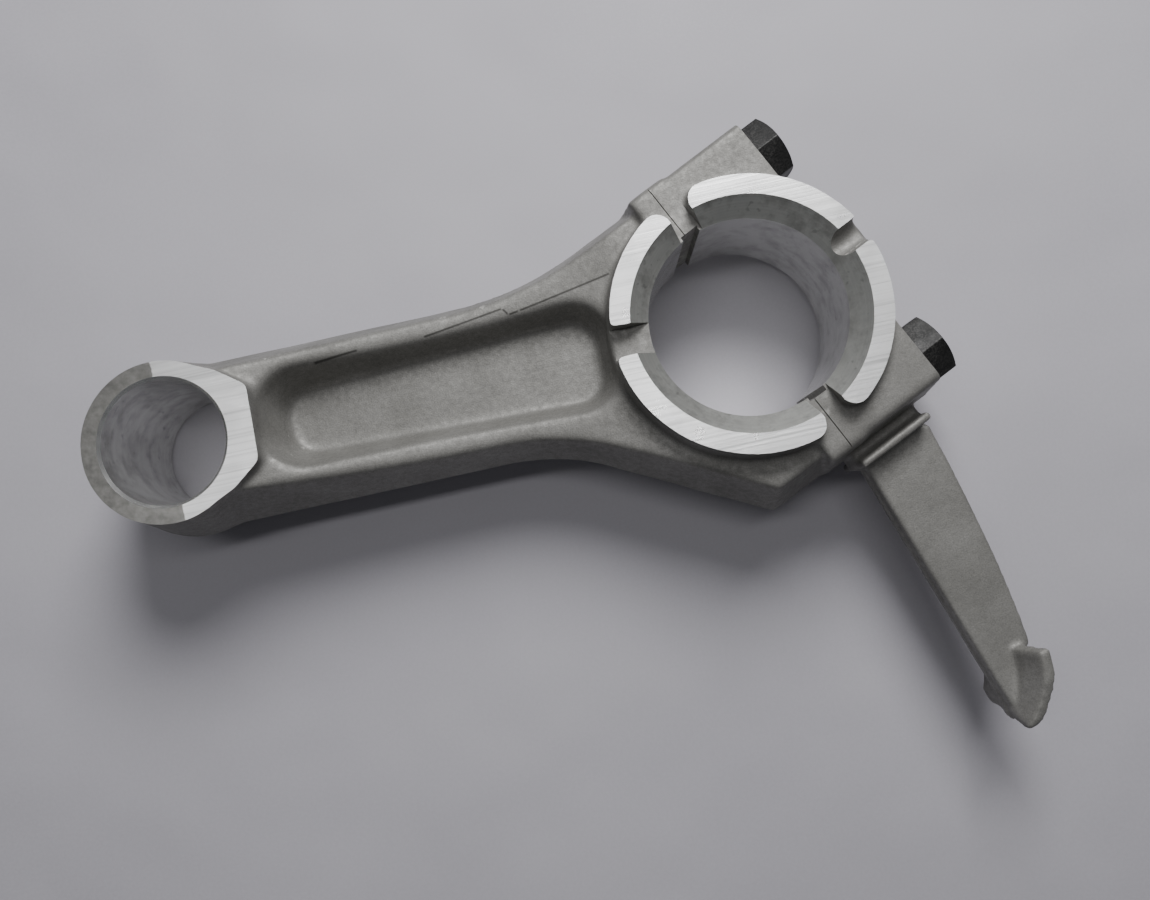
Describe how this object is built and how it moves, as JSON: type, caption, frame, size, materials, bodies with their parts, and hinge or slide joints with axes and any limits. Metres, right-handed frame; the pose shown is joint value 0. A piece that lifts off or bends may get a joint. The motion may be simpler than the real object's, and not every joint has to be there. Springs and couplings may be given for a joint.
{
  "type": "connecting rod",
  "caption": "Aluminium engine connecting rod with an obliquely split, bolted big end and an oil dipper on its bearing cap.",
  "frame": {"origin": "centre of the crankpin bore, halfway through its width", "axes": "+Z along the crankpin, +X from the wrist pin towards the crankpin, +Y across the rod, away from the dipper"},
  "size_m": [0.1805, 0.1349, 0.034],
  "materials": {
    "cast_aluminium": "as cast, with machined faces and bores",
    "black_steel": "black oxide",
    "dowel_steel": "ground steel"
  },
  "bodies": {
    "rod": {"rod_body": "cast_aluminium", "dowel_sleeve_upper": "dowel_steel", "dowel_sleeve_lower": "dowel_steel"},
    "cap": {"bearing_cap": "cast_aluminium"},
    "screw_upper": {"cap_screw_upper": "black_steel"},
    "screw_lower": {"cap_screw_lower": "black_steel"}
  },
  "joints": [
    {"name": "cap_lift", "type": "slide", "parent": "rod", "child": "cap", "axis": [0.9063, 0.4226, 0], "range_m": [0, 0.025]},
    {"name": "screw_upper_out", "type": "slide", "parent": "cap", "child": "screw_upper", "axis": [0.9063, 0.4226, 0], "range_m": [0, 0.045]},
    {"name": "screw_lower_out", "type": "slide", "parent": "cap", "child": "screw_lower", "axis": [0.9063, 0.4226, 0], "range_m": [0, 0.045]}
  ]
}
